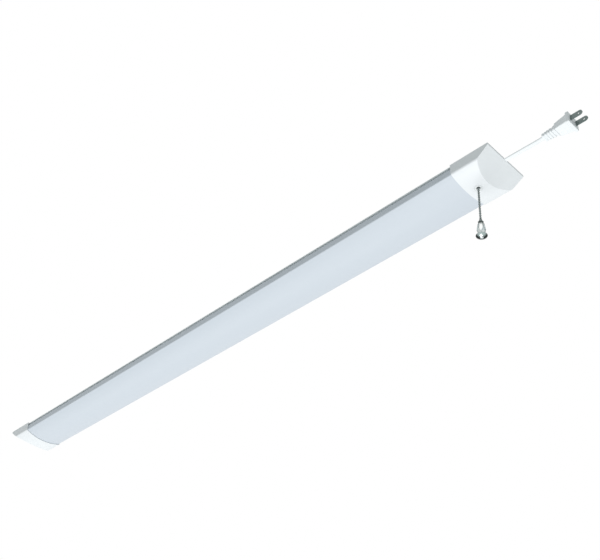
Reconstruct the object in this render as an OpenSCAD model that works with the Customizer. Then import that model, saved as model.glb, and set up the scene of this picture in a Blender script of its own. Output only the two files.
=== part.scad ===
// Slim hanging shop light with a pull chain switch and a short flat cord that ends in a two-blade plug.
// Millimetres, +Z up. The origin is the centre of the back face, which goes against the ceiling.
// X runs along the light. The cord and the pull chain are at its -X end, called the near end.

/* [Light] */
// Overall length over both end caps
light_length = 1200; // [800:10:1500]
// Width over the end caps at the back face
cap_width = 80; // [78:1:100]
// Depth from the back face to the lowest point of the end caps
cap_depth = 24.5; // [24:0.5:32]
// Height of the straight part of the sides, down to where the curved bottom would meet them
side_height = 16.5; // [15:0.5:18]
// How far each side leans in over that height
side_lean = 1.4; // [0.6:0.1:2.4]
// Outside radius between a side and the curved bottom
corner_radius = 3; // [2:0.5:5]

/* [End caps] */
// Length of an end cap along the light
cap_length = 62; // [60:1:90]
// Wall thickness of the end caps
cap_wall = 1.25; // [1:0.05:1.6]
// Gap between an end cap and what it slides over
cap_fit = 0.15; // [0.1:0.05:0.3]
// Height of the upright lip at the outer end, below the back face
lip_height = 3; // [2.5:0.5:4]
// How far the slanted end face runs in towards the middle of the light
slant_run = 30; // [22:1:31]
// Distance of the end cap screws from the outer end
cap_screw_setback = 30; // [26:1:36]
// Distance of the end cap screws from the middle line
cap_screw_offset = 27; // [22:1:30]
// Diameter of the bosses that the end cap screws go into
cap_boss_d = 7; // [6:0.5:8]

/* [Housing and diffuser] */
// Thickness of the sheet metal
sheet = 0.8; // [0.6:0.1:1]
// How far the edge of the back stays in from the line of the diffuser's side
flange_inset = 1.2; // [1:0.1:1.6]
// Distance of the rails from the edge of the back
rail_setback = 3.8; // [3.6:0.1:4]
// Height of the rails, from the back face to their foot
rail_height = 6.2; // [6:0.1:7]
// Width of the lip turned out at the foot of a rail
rail_lip = 2; // [1.8:0.1:2.2]
// Distance from the outer end of the light to the end of the housing
housing_setback = 20; // [19:1:22]
// Wall thickness of the diffuser
diffuser_wall = 1.2; // [1:0.1:1.6]
// Gap between the diffuser and the metal that it clips to
clip_gap = 0.2; // [0.15:0.05:0.3]
// Height of the diffuser's clip hook
hook_height = 1; // [0.8:0.1:1.4]
// How far the clip hook reaches over the rail's lip
hook_reach = 1.2; // [0.8:0.1:1.5]
// How far the diffuser reaches into each end cap
diffuser_overlap = 5; // [3:0.5:6]
// Distance between the two keyholes in the back
keyhole_spacing = 1000; // [600:10:1000]
// Diameter of a keyhole's round end, which takes a screw head
keyhole_d = 8.5; // [8:0.5:10]
// Width of a keyhole's slot
keyhole_slot_w = 4.6; // [4.4:0.1:5]
// Distance from a keyhole's round end to the end of its slot, centre to centre
keyhole_run = 9; // [8:0.5:14]

/* [Light engine] */
// Gap between a foot of the tray and the rail beside it
tray_gap = 0.7; // [0.5:0.1:1.5]
// Depth of the tray's face below the back face
tray_depth = 12; // [12:0.2:12.6]
// Width of the tray's feet
tray_foot = 4.6; // [4.4:0.1:4.8]
// Width of an LED board
board_w = 20; // [18:1:30]
// Thickness of an LED board
board_t = 1; // [0.8:0.1:1.6]
// Gap between the two boards
board_gap = 6; // [4:1:8]
// Distance between LEDs
led_pitch = 15; // [12:1:30]
// Length, width and height of an LED
led_size = [3.5, 2.8, 0.7];
// Length of the driver's case
driver_length = 190; // [160:5:200]
// Width of the driver's case
driver_width = 34; // [30:1:40]
// Height of the driver's case with its cover
driver_height = 10; // [9.5:0.1:10.2]
// Wall thickness of the driver's case
driver_wall = 1.2; // [1:0.1:1.4]

/* [Screws] */
// Shank diameter of the end cap screws
cap_screw_d = 2.9; // [2.5:0.1:3.5]
// Head diameter of the end cap screws
cap_screw_head_d = 5.8; // [5:0.1:6.2]
// Length of the end cap screws
cap_screw_length = 10; // [8:1:12]
// Shank diameter of the small screws
small_screw_d = 2.4; // [2:0.1:2.6]
// Head diameter of the small screws
small_head_d = 4; // [3.6:0.1:4.2]
// Head height of the small screws
small_head_h = 1.2; // [1:0.1:1.4]

/* [Pull chain] */
// Distance of the chain from the outer end of the near end cap
chain_setback = 46; // [46:0.5:47]
// Diameter of a bead
bead_d = 3.2; // [3:0.1:3.3]
// Distance between beads
bead_pitch = 4.2; // [4.1:0.1:4.6]
// Diameter of the wire links between beads
link_d = 0.9; // [0.7:0.1:1.1]
// Number of beads below the first two, with the one inside the coupling
lower_beads = 12; // [6:1:24]
// Distance from the mouth of the guide to the first bead below it
first_bead_drop = 4; // [4:0.1:4.6]
// How far a pull draws the chain out
pull_travel = 6; // [4:0.5:6]

/* [Pull switch] */
// Outside diameter of the guide's flange on the end cap
guide_flange_d = 12; // [11:0.5:13]
// How far the flange stands proud of the end cap
guide_proud = 0.5; // [0.4:0.1:0.8]
// Outside diameter of the guide's threaded sleeve
guide_sleeve_d = 7; // [6.8:0.1:7.4]
// Bore of the guide
guide_bore_d = 4.6; // [4.4:0.1:5]
// Diameter of the flared mouth of the guide
guide_mouth_d = 7; // [6:0.5:8]
// Width of the guide's nut across its flats
nut_flats = 10; // [9:0.5:10]
// Thickness of the guide's nut
nut_t = 2; // [1.5:0.1:2.2]
// Width of the switch case across the light
switch_width = 18; // [18:0.5:20]
// Wall thickness of the switch case
switch_wall = 1.2; // [1:0.1:1.4]
// Height of the slider
slider_height = 3.9; // [3.6:0.1:4]
// Radius of the switch rotor to the tips of its teeth
rotor_r = 4; // [3.6:0.1:4.1]

/* [Pendant] */
// Outside diameter of the coupling
coupling_d = 4; // [3.9:0.1:4.4]
// Widest diameter of the crystal
crystal_d = 12.6; // [11:0.2:14]
// Height of the crystal
crystal_height = 20.5; // [19:0.5:25]
// Diameter of the flange of the pendant's cap
pendant_flange_d = 7.4; // [6.6:0.2:8.4]
// Diameter of the skirt's rim
skirt_d = 15.4; // [14:0.2:17]
// Height of the skirt
skirt_height = 4.6; // [4:0.2:6]
// Diameter of the stud's head
stud_d = 5; // [4.4:0.2:5.8]

/* [Cord and plug] */
// Diameter of one of the cord's two cores
core_d = 3.1; // [2.8:0.1:3.1]
// Thickness of the web between the cores
cord_web = 1.6; // [1.2:0.1:2]
// Length of the plug's ribbed strain relief
relief_length = 15.4; // [14:0.2:20]
// Number of ribs on the strain relief
relief_ribs = 4; // [3:1:5]
// Length of the plug from the strain relief to its face
plug_length = 27.6; // [26:0.2:32]
// Width of the plug's face
plug_face_w = 24; // [23:0.5:26]
// Height of the plug's face
plug_face_h = 18.6; // [17:0.2:19]
// Distance between the blades, centre to centre
blade_spacing = 12.7; // [12.7:0.1:12.7]
// Height of a blade
blade_h = 7.9; // [6.4:0.1:8]
// Thickness of a blade
blade_t = 1.5; // [1.4:0.1:1.6]
// How far the blades stand out of the plug's face
blade_length = 17; // [16:0.5:18]
// Diameter of the hole in a blade
blade_hole_d = 3.2; // [3:0.1:3.4]

/* [Hidden] */

$fn = 48;
eps = 0.01;
reach = 5;

// The cord's free stretch, from the notch in the end cap to the plug
cord_route = [
    [-600, 0, -1.6], [-604, 0, -1.61], [-608, 0, -1.64], [-612, 0, -1.68], [-616, 0, -1.74],
    [-620, 0, -1.81], [-624, 0, -1.89], [-628, 0, -1.96], [-632, 0, -2.05], [-636, 0, -2.12],
    [-640, 0, -2.2], [-644, 0, -2.27], [-648, 0, -2.32], [-652, 0, -2.37], [-656, 0, -2.39],
    [-659.5, 0, -2.4]
];

// Section of the light: sides that lean in, rounded corners and a curved bottom
half_width = cap_width / 2;
lean = side_lean / side_height;
lean_k = sqrt(1 + lean * lean);
bulge = cap_depth - side_height;
foot_half = half_width - side_lean;
arc_r = (foot_half * foot_half + bulge * bulge) / (2 * bulge);
arc_z = arc_r - cap_depth;
cap_proud = cap_wall + cap_fit;

// Places along the light
near_x = -light_length / 2;
housing_length = light_length - 2 * housing_setback;
diffuser_length = light_length - 2 * (cap_length - diffuser_overlap);
tray_margin = 2;
tray_length = light_length - 2 * cap_length - 2 * tray_margin;
board_margin = 3;
board_length = (tray_length - board_gap) / 2 - board_margin;
led_end = 10;
led_count = round((board_length - 2 * led_end) / led_pitch) + 1;
led_step = (board_length - 2 * led_end) / (led_count - 1);
tray_screw_x = tray_length / 2 - 55;
board_screw_end = 12;
board_screw_step = board_length / 2 - board_screw_end;

// Slanted end face of an end cap, outside and inside
slant_drop = cap_depth - lip_height;
slant_k = slant_drop / slant_run;
slant_shift = cap_wall * sqrt(slant_run * slant_run + slant_drop * slant_drop) / slant_run;
cap_back_end = housing_setback - cap_fit;

// Keyholes
keyhole_start = keyhole_spacing / 2;

// Screws
screw_gap = 0.05;
small_hole_r = small_screw_d / 2 + screw_gap;
cap_head_depth = (cap_screw_head_d - cap_screw_d) / 2;

// Driver
driver_gap = 9;
driver_x = -driver_gap - driver_length / 2;
driver_bottom = -sheet - driver_height;
ear_length = 7;
lead_notch = 3;
driver_lead_y = 12;
board_standoff = 0.8;
driver_board_t = 1.2;
driver_board_z = -sheet - driver_wall - board_standoff - driver_board_t;

// Pull chain
chain_x = near_x + chain_setback;
mouth_z = -cap_depth;
bead_r = bead_d / 2;
pivot_gap = 0.05;
pivot_z = mouth_z - first_bead_drop;
lead_z = pivot_z - bead_pitch;
last_z = lead_z - lower_beads * bead_pitch;
beads_above = 5;
top_bead_z = pivot_z + beads_above * bead_pitch;

// Pull switch, clamped to the inside of the near end cap by its guide
seat_t = 1;
seat_d = 14;
seat_z = -cap_depth + cap_wall + seat_t;
nut_top = seat_z + switch_wall + nut_t;
slider_floor = 0.5;
slider_bottom = top_bead_z - bead_r - slider_floor;
slider_top = slider_bottom + slider_height;
slider_play = 0.4;
case_top = slider_top + slider_play;
switch_left = 15;
switch_right = 9;
rotor_x = chain_x - 8.6;
rotor_z = seat_z + switch_wall + rotor_r + 0.4;
rotor_w = 8;
rotor_pin_r = 1;
tab_z = [seat_z + 10, seat_z + 11];
tab_x = [chain_x - 9, chain_x + 1];
tab_w = 3;
tab_reach = 3;
contact_t = 0.4;
spring_wire = 0.6;
spring_r = 3;
spring_turns = 4.5;

// Pendant, hung from the bead inside the coupling
coupling_top = last_z + bead_r + 0.3;
cap_flange_z = last_z - bead_r - 0.8;
crystal_top = cap_flange_z - 2.4;
crystal_bottom = crystal_top - crystal_height;
crystal_k = crystal_d / 12.6;
skirt_rim_z = crystal_bottom - 1.6;
skirt_low_z = crystal_bottom - skirt_height;
stud_shank_r = 1.15;

// Plug, square to the end of the cord
cord_end = cord_route[len(cord_route) - 1];
cord_turn = cord_end - cord_route[len(cord_route) - 2];
plug_tilt = atan2(-cord_turn[2], -cord_turn[0]);
cord_z = cord_route[0][2];
anchor_setback = 6;
anchor_size = [8, 12, 4.7];
anchor_gap = 0.3;
rib_t = 1.2;
tail_length = 17;
flange_t = 4;
blade_grip = 8;
lead_d = 1.8;
lead_pitch = 3;

function unit(v) = v / norm(v);

// Half width of the section's side at height z, moved in by inset
function side_y(inset, z) = half_width - inset * lean_k + lean * z;

// Centre height of the corner radius r where side and bottom are both moved in by inset
function corner_z(inset, r) =
    let (a = side_y(inset, 0) - r * lean_k,
         b = a * lean - arc_z,
         c = a * a + arc_z * arc_z - pow(arc_r - inset - r, 2))
    (-b - sqrt(b * b - lean_k * lean_k * c)) / (lean_k * lean_k);

// Outline of the section moved in by inset, with its flat top at height top
function section(inset, top = 0, corner_steps = 6, arc_steps = 36) =
    let (r = max(corner_radius - inset, 0.4),
         cz = corner_z(inset, r),
         cy = side_y(inset, cz) - r * lean_k,
         start = -atan(lean),
         stop = atan2(cz - arc_z, cy),
         corner = [for (i = [0:corner_steps])
             let (a = start + (stop - start) * i / corner_steps)
             [cy + r * cos(a), cz + r * sin(a)]],
         bottom = [for (i = [1:arc_steps - 1])
             let (a = stop - (180 + 2 * stop) * i / arc_steps)
             [(arc_r - inset) * cos(a), arc_z + (arc_r - inset) * sin(a)]],
         back = [for (i = [0:corner_steps]) [-corner[corner_steps - i][0], corner[corner_steps - i][1]]])
    concat([[side_y(inset, top), top]], corner, bottom, back, [[-side_y(inset, top), top]]);

// Direction of a path at its point i
function heading(path, i) =
    i == 0 ? unit(path[1] - path[0])
    : i == len(path) - 1 ? unit(path[i] - path[i - 1])
    : unit(unit(path[i + 1] - path[i]) + unit(path[i] - path[i - 1]));

// Sideways direction at every point of a path, carried along it without twist
function sideways(path, side, i = 0) =
    let (t = heading(path, i), s = unit(side - t * (side * t)))
    i == len(path) - 1 ? [s] : concat([s], sideways(path, s, i + 1));

function ring_points(r, sides) = [for (j = [0:sides - 1]) r * [cos(360 * j / sides), sin(360 * j / sides)]];

// Outline of the flat cord: two round cores with a web between them
function cord_outline() =
    let (lobe = [for (j = [0:5]) let (a = -130 + 52 * j) [core_d / 2 * (1 + cos(a)), core_d / 2 * sin(a)]])
    concat(lobe, [for (p = lobe) -p]);

// Sweeps an outline along a path
module sweep(path, outline, side) {
    n = len(outline);
    s = sideways(path, side);
    points = [for (i = [0:len(path) - 1])
        let (t = heading(path, i), up = cross(t, s[i]))
        for (q = outline) path[i] + s[i] * q[0] + up * q[1]];
    walls = [for (i = [0:len(path) - 2], j = [0:n - 1])
        let (a = i * n + j, b = i * n + (j + 1) % n)
        each [[a, b + n, b], [a, a + n, b + n]]];
    ends = [[for (j = [0:n - 1]) j], [for (j = [0:n - 1]) len(points) - 1 - j]];
    polyhedron(points, concat(walls, ends));
}

// Extrudes an outline drawn in Y and Z along X
module along_x(x0, x1) {
    translate([x0, 0, 0])
        rotate([90, 0, 90])
            linear_extrude(x1 - x0)
                children();
}

// Extrudes an outline drawn in X and Z across the whole light
module across() {
    rotate([90, 0, 0])
        linear_extrude(2 * cap_width, center = true)
            children();
}

// Block between two corners
module block(low, high) {
    translate(low)
        cube(high - low);
}

module both_sides() {
    children();
    mirror([0, 1, 0])
        children();
}

module mirrored_2d() {
    children();
    mirror([1, 0])
        children();
}

module countersunk_screw(gap = 0) {
    rotate_extrude()
        polygon([
            [0, 0],
            [cap_screw_head_d / 2 + gap, 0],
            [cap_screw_d / 2 + gap, -cap_head_depth],
            [cap_screw_d / 2 + gap, -cap_screw_length - gap],
            [0, -cap_screw_length - gap]
        ]);
}

// Pan head screw with its head below z = 0 and its shank above it
module pan_screw(length) {
    rotate_extrude()
        polygon([
            [0, -small_head_h],
            [small_head_d / 2 - 0.5, -small_head_h],
            [small_head_d / 2, -small_head_h + 0.5],
            [small_head_d / 2, 0],
            [small_screw_d / 2, 0],
            [small_screw_d / 2, length],
            [0, length]
        ]);
}

module at_cap_screws() {
    for (k = [-1, 1])
        both_sides()
            translate([k * (light_length / 2 - cap_screw_setback), cap_screw_offset, 0])
                children();
}

module at_tray_screws() {
    for (k = [-1:1])
        both_sides()
            translate([k * tray_screw_x, (tray_width + tray_foot) / 2, 0])
                children();
}

module at_board_screws() {
    for (end = [-1, 1], k = [-1, 1])
        both_sides()
            translate([end * (board_gap + board_length) / 2 + k * board_screw_step, board_w / 2 - 3.5, 0])
                children();
}

module at_driver_screws() {
    for (k = [-1, 1])
        translate([driver_x + k * (driver_length + ear_length) / 2, 0, 0])
            children();
}

// Housing: a flat back whose edges are folded flat under, then down as rails with a lip at their foot
flange_y = side_y(cap_proud, 0) - flange_inset;
rail_y = flange_y - rail_setback;
tray_width = 2 * (rail_y - sheet - tray_gap - tray_foot);
housing_half = [
    [flange_y, 0],
    [flange_y, -2 * sheet],
    [rail_y, -2 * sheet],
    [rail_y, -rail_height + sheet],
    [rail_y + rail_lip, -rail_height + sheet],
    [rail_y + rail_lip, -rail_height],
    [rail_y - sheet, -rail_height],
    [rail_y - sheet, -sheet]
];

function reversed(list) = [for (i = [len(list) - 1:-1:0]) list[i]];

function opposite(list) = reversed([for (p = list) [-p[0], p[1]]]);

module keyhole() {
    translate([0, 0, -sheet - 1])
        cylinder(d = keyhole_d, h = sheet + 2);
    translate([keyhole_run, 0, -sheet - 1])
        cylinder(d = keyhole_slot_w, h = sheet + 2);
    block([0, -keyhole_slot_w / 2, -sheet - 1], [keyhole_run, keyhole_slot_w / 2, 1]);
}

module housing() {
    color("white")
        difference() {
            along_x(-housing_length / 2, housing_length / 2)
                polygon(concat(housing_half, opposite(housing_half)));
            for (k = [-1, 1])
                translate([k * keyhole_start, 0, 0])
                    keyhole();
            at_cap_screws()
                translate([0, 0, eps])
                    countersunk_screw(screw_gap);
            at_tray_screws()
                translate([0, 0, -sheet - 1])
                    cylinder(r = small_hole_r, h = sheet + 2);
            at_driver_screws()
                translate([0, 0, -sheet - 1])
                    cylinder(r = small_hole_r, h = sheet + 2);
        }
}

// Diffuser: a curved trough whose edges clip over the lips of the rails
diffuser_top = -rail_height - clip_gap;
hook_y = rail_y + rail_lip + clip_gap;
hook_z = -rail_height + sheet + clip_gap;
hook_outline = [
    [hook_y - hook_reach, diffuser_top - diffuser_wall],
    [hook_y - hook_reach, diffuser_top],
    [hook_y, diffuser_top],
    [hook_y, hook_z],
    [hook_y - hook_reach, hook_z],
    [hook_y - hook_reach, hook_z + hook_height],
    [hook_y + 1.1, hook_z + hook_height],
    [hook_y + 1.1, diffuser_top]
];

module diffuser() {
    color("gainsboro")
        along_x(-diffuser_length / 2, diffuser_length / 2)
            polygon(concat(
                hook_outline,
                section(cap_proud, diffuser_top),
                opposite(hook_outline),
                reversed(section(cap_proud + diffuser_wall, diffuser_top - diffuser_wall))
            ));
}

// End cap at the near end: the whole form, without its hollow
module cap_form() {
    depth = cap_depth + reach;
    intersection() {
        along_x(near_x, near_x + cap_length)
            polygon(section(0));
        across()
            polygon([
                [near_x, reach],
                [near_x, -lip_height],
                [near_x + (depth - lip_height) / slant_k, -depth],
                [near_x + cap_length + reach, -depth],
                [near_x + cap_length + reach, reach]
            ]);
    }
}

// Hollow of the end cap, open towards the light and over the housing
module cap_hollow() {
    depth = cap_depth + reach;
    front = near_x + cap_wall;
    intersection() {
        along_x(near_x, near_x + cap_length + 1)
            polygon(section(cap_wall, reach));
        across()
            polygon([
                [front, -cap_wall],
                [front, -lip_height + slant_shift - cap_wall * slant_k],
                [near_x + (depth - lip_height + slant_shift) / slant_k, -depth],
                [near_x + cap_length + reach, -depth],
                [near_x + cap_length + reach, 2 * reach],
                [near_x + cap_back_end, 2 * reach],
                [near_x + cap_back_end, -cap_wall]
            ]);
    }
}

module cap_bosses() {
    both_sides()
        translate([near_x + cap_screw_setback, cap_screw_offset, -cap_depth])
            cylinder(d = cap_boss_d, h = cap_depth - sheet);
}

module end_cap_shell() {
    difference() {
        cap_form();
        cap_hollow();
    }
    intersection() {
        cap_form();
        cap_bosses();
    }
}

module cap_screw_pilots() {
    both_sides()
        translate([near_x + cap_screw_setback, cap_screw_offset, eps])
            countersunk_screw(screw_gap);
}

// Notch for the cord, open at the back, with a pocket behind it for the anchor on the cord
module cord_notch() {
    w = 2 * core_d + 2 * anchor_gap;
    bottom = cord_z - core_d / 2 - anchor_gap;
    translate([near_x - 1, -w / 2, bottom + core_d / 2])
        cube([cap_back_end + 1, w, reach]);
    for (k = [-1, 1])
        translate([near_x - 1, k * (w - core_d) / 2, bottom + core_d / 2])
            rotate([0, 90, 0])
                cylinder(d = core_d, h = cap_back_end + 1);
    translate([near_x - 1, -(w - core_d) / 2, bottom])
        cube([cap_back_end + 1, w - core_d, reach]);
    pocket = [near_x + anchor_setback, -anchor_size[1] / 2, -anchor_size[2] - anchor_gap];
    translate(pocket - anchor_gap * [1, 1, 1])
        cube(anchor_size + [2 * anchor_gap, 2 * anchor_gap, reach]);
}

// Rib that holds the anchor from behind
module anchor_rib() {
    translate([near_x + anchor_setback + anchor_size[0] + anchor_gap, -anchor_size[1] / 2 - 2, -cap_depth])
        cube([rib_t, anchor_size[1] + 4, cap_depth - cap_wall / 2]);
}

module near_end_cap() {
    color("white")
        difference() {
            union() {
                end_cap_shell();
                intersection() {
                    cap_form();
                    union() {
                        anchor_rib();
                        translate([chain_x, 0, -cap_depth])
                            cylinder(d = seat_d, h = cap_wall + seat_t);
                    }
                }
            }
            cap_screw_pilots();
            cord_notch();
            translate([chain_x, 0, -cap_depth - 1])
                cylinder(r = guide_sleeve_d / 2 + screw_gap, h = cap_wall + seat_t + 2);
            translate([chain_x, 0, mouth_z - 1])
                cylinder(r = guide_flange_d / 2 + screw_gap, h = 1 + cap_wall / 3);
        }
}

module far_end_cap() {
    color("white")
        mirror([1, 0, 0])
            difference() {
                end_cap_shell();
                cap_screw_pilots();
            }
}

// Tray: a folded hat section under the back of the housing, with the LED boards on its face
module tray_outline() {
    half = tray_width / 2;
    translate([-half, -tray_depth - sheet])
        square([tray_width, sheet]);
    mirrored_2d() {
        translate([half - sheet, -tray_depth - sheet])
            square([sheet, tray_depth]);
        translate([half - sheet, -2 * sheet])
            square([tray_foot + sheet, sheet]);
    }
}

module led_tray() {
    color("whitesmoke")
        difference() {
            along_x(-tray_length / 2, tray_length / 2)
                tray_outline();
            at_tray_screws()
                translate([0, 0, -2 * sheet - 1])
                    cylinder(r = small_hole_r, h = sheet + 2);
            at_board_screws()
                translate([0, 0, -tray_depth - sheet - 1])
                    cylinder(r = small_hole_r, h = sheet + 2);
            translate([0, 0, -tray_depth - sheet - 1])
                cylinder(d = board_gap - 1, h = sheet + 2);
        }
}

board_z = -tray_depth - sheet - board_t;

// LED board, at the near end for side = -1 and at the far end for side = 1
module led_board(side) {
    color("white")
        difference() {
            translate([side * (board_gap + board_length) / 2, 0, board_z + board_t / 2])
                cube([board_length, board_w, board_t], center = true);
            at_board_screws()
                translate([0, 0, board_z - 1])
                    cylinder(r = small_hole_r, h = board_t + 2);
        }
}

module led_board_near() {
    led_board(-1);
}

module led_board_far() {
    led_board(1);
}

module led_chips() {
    color("khaki")
        for (side = [-1, 1], i = [0:led_count - 1])
            translate([
                side * ((board_gap + board_length) / 2) + (i - (led_count - 1) / 2) * led_step,
                0,
                board_z - led_size[2] / 2
            ])
                cube(led_size, center = true);
}

connector_size = [12, 9, 2.5];

// Connector that bridges the two boards and takes the driver's output
module board_connector() {
    color("ivory")
        difference() {
            translate([0, 0, board_z - connector_size[2] / 2])
                cube(connector_size, center = true);
            for (k = [-1, 1])
                translate([0, k * lead_pitch / 2, board_z - 1])
                    cylinder(r = lead_d / 2 + screw_gap, h = 2);
        }
}

// Driver: a small case under the back of the housing, between the webs of the tray
module driver_ears() {
    difference() {
        translate([driver_x, 0, -sheet - driver_wall / 2])
            cube([driver_length + 2 * ear_length, 10, driver_wall], center = true);
        at_driver_screws()
            translate([0, 0, -sheet - driver_wall - 1])
                cylinder(r = small_hole_r, h = driver_wall + 2);
    }
}

module driver_case() {
    low = [driver_x - driver_length / 2, -driver_width / 2, driver_bottom + driver_wall];
    high = [driver_x + driver_length / 2, driver_width / 2, -sheet];
    color("whitesmoke")
        difference() {
            union() {
                block(low, high);
                driver_ears();
            }
            block(low + [driver_wall, driver_wall, -1], high - [driver_wall, driver_wall, driver_wall]);
            for (y = [-driver_lead_y, driver_lead_y])
                translate([low[0] - 1, y - lead_notch / 2, low[2] - 1])
                    cube([driver_wall + 2, lead_notch, lead_notch + 1]);
            translate([high[0] - driver_wall - 1, -lead_notch, low[2] - 1])
                cube([driver_wall + 2, 2 * lead_notch, lead_notch + 1]);
        }
}

module driver_cover() {
    color("whitesmoke")
        block(
            [driver_x - driver_length / 2, -driver_width / 2, driver_bottom],
            [driver_x + driver_length / 2, driver_width / 2, driver_bottom + driver_wall]
        );
}

module driver_board() {
    size = [driver_length - 2 * driver_wall - 2, driver_width - 2 * driver_wall - 1, driver_board_t];
    color("seagreen") {
        translate([driver_x, 0, driver_board_z + driver_board_t / 2])
            cube(size, center = true);
        for (i = [-1, 1], j = [-1, 1])
            translate([driver_x + i * (size[0] / 2 - 4), j * (size[1] / 2 - 3), driver_board_z])
                cylinder(d = 3, h = driver_board_t + board_standoff);
    }
}

// What stands on the driver's board: transformer, two capacitors, choke, film capacitor, fuse, switch
module driver_components() {
    room = driver_board_z - driver_bottom - driver_wall - 0.4;
    can_r = min(2.7, room / 2);
    color("dimgray") {
        translate([driver_x + 10, 0, driver_board_z - room / 2])
            cube([18, 16, room], center = true);
        for (x = [-30, 45])
            translate([driver_x + x, 0, driver_board_z - can_r])
                rotate([0, 90, 0])
                    cylinder(r = can_r, h = 14, center = true);
        translate([driver_x - 55, 0, driver_board_z - room / 2])
            cube([12, 12, room], center = true);
        translate([driver_x - 72, 5, driver_board_z - room / 2])
            cube([9, 5, room], center = true);
        translate([driver_x - 72, -5, driver_board_z - 1.8])
            rotate([0, 90, 0])
                cylinder(r = 1.8, h = 8, center = true);
        translate([driver_x + 65, 0, driver_board_z - room / 2])
            cube([4, 10, room], center = true);
    }
}

module driver_screws() {
    color("silver")
        at_driver_screws()
            translate([0, 0, -sheet - driver_wall])
                pan_screw(sheet + driver_wall);
}

module tray_screws() {
    color("silver")
        at_tray_screws()
            translate([0, 0, -2 * sheet])
                pan_screw(2 * sheet);
}

module board_screws() {
    color("silver")
        at_board_screws()
            translate([0, 0, board_z])
                pan_screw(board_t + sheet + 1);
}

module end_cap_screws() {
    color("silver")
        at_cap_screws()
            countersunk_screw();
}

// Flat cord: held by a moulded anchor inside the near end cap
module cord_section_2d() {
    for (k = [-1, 1])
        translate([k * core_d / 2, 0])
            circle(d = core_d);
    square([core_d, cord_web], center = true);
}

module cord_anchor() {
    color("white")
        difference() {
            translate([near_x + anchor_setback, -anchor_size[1] / 2, -anchor_size[2] - anchor_gap])
                cube(anchor_size);
            along_x(near_x, near_x + cap_back_end)
                translate([0, cord_z]) {
                    cord_section_2d();
                    translate([-core_d / 2, 0])
                        square(core_d);
                }
        }
}

module cord_tail() {
    color("white")
        along_x(near_x, near_x + tail_length)
            translate([0, cord_z])
                cord_section_2d();
}

module lead(path) {
    sweep(path, ring_points(lead_d / 2, 8), [0, 1, 0]);
}

tail_x = near_x + tail_length;
lead_y = switch_width / 2 + tab_reach + 1;
case_left = chain_x - switch_left;

// From the cord to the first terminal of the switch
module switch_lead() {
    color("dimgray")
        lead([
            [tail_x, core_d / 2, cord_z],
            [tail_x + 2, core_d / 2, cord_z],
            [tail_x + 6, core_d / 2 + 3, cord_z - 3],
            [case_left - 1, lead_y, tab_z[0] + 1.5],
            [tab_x[0] - tab_w / 2 - 2, lead_y + 0.4, tab_z[0] + 0.5],
            [tab_x[0] - tab_w / 2, lead_y + 0.4, tab_z[0] + 0.5]
        ]);
}

// From the cord and from the second terminal of the switch to the driver
module driver_leads() {
    stop = driver_x - driver_length / 2 + 4;
    lead_z = driver_bottom + driver_wall + lead_notch / 2 + 0.2;
    inlet = near_x + cap_length + 4;
    color("gainsboro") {
        lead([
            [tail_x, -core_d / 2, cord_z],
            [tail_x + 2, -core_d / 2, cord_z],
            [tail_x + 6, -core_d / 2 - 3, cord_z - 3],
            [case_left - 1, -lead_y, -6],
            [case_left + 8, -lead_y - 1, -6],
            [inlet - 8, -lead_y, -6],
            [inlet, -driver_lead_y, -6],
            [stop - 14, -driver_lead_y, -6],
            [stop - 6, -driver_lead_y, lead_z],
            [stop, -driver_lead_y, lead_z]
        ]);
        lead([
            [tab_x[1] + tab_w / 2, lead_y + 0.4, tab_z[0] + 0.5],
            [tab_x[1] + tab_w / 2 + 3, lead_y + 0.4, tab_z[0] + 0.5],
            [inlet - 4, lead_y, -7],
            [inlet + 2, driver_lead_y, -6],
            [stop - 14, driver_lead_y, -6],
            [stop - 6, driver_lead_y, lead_z],
            [stop, driver_lead_y, lead_z]
        ]);
    }
}

// From the driver down through the tray to the connector on the boards
module led_leads() {
    start = driver_x + driver_length / 2 - 4;
    z = driver_bottom + driver_wall + lead_notch / 2 + 0.2;
    color("firebrick")
        for (k = [-1, 1])
            lead([
                [start, k * lead_pitch / 2, z],
                [-4, k * lead_pitch / 2, z],
                [-1.6, k * lead_pitch / 2, z - 0.6],
                [-0.3, k * lead_pitch / 2, z - 2],
                [0, k * lead_pitch / 2, z - 3.4],
                [0, k * lead_pitch / 2, board_z - 1]
            ]);
}

// Guide: a threaded sleeve with a flared mouth, clamped through the end cap by its nut
module chain_guide() {
    color("whitesmoke")
        translate([chain_x, 0, 0])
            rotate_extrude()
                polygon([
                    [guide_bore_d / 2, nut_top],
                    [guide_bore_d / 2, mouth_z + 1.6],
                    [guide_mouth_d / 2 - 0.4, mouth_z],
                    [guide_mouth_d / 2, mouth_z - guide_proud],
                    [guide_flange_d / 2 - 0.4, mouth_z - guide_proud],
                    [guide_flange_d / 2, mouth_z - guide_proud + 0.3],
                    [guide_flange_d / 2, mouth_z + cap_wall / 3],
                    [guide_sleeve_d / 2, mouth_z + cap_wall / 3],
                    [guide_sleeve_d / 2, nut_top]
                ]);
}

module guide_nut() {
    color("silver")
        translate([chain_x, 0, seat_z + switch_wall])
            difference() {
                rotate(30)
                    cylinder(r = nut_flats / sqrt(3), h = nut_t, $fn = 6);
                translate([0, 0, -1])
                    cylinder(r = guide_sleeve_d / 2 + screw_gap, h = nut_t + 2);
            }
}

switch_low = [case_left, -switch_width / 2, seat_z];
switch_high = [chain_x + switch_right, switch_width / 2, case_top];

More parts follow.
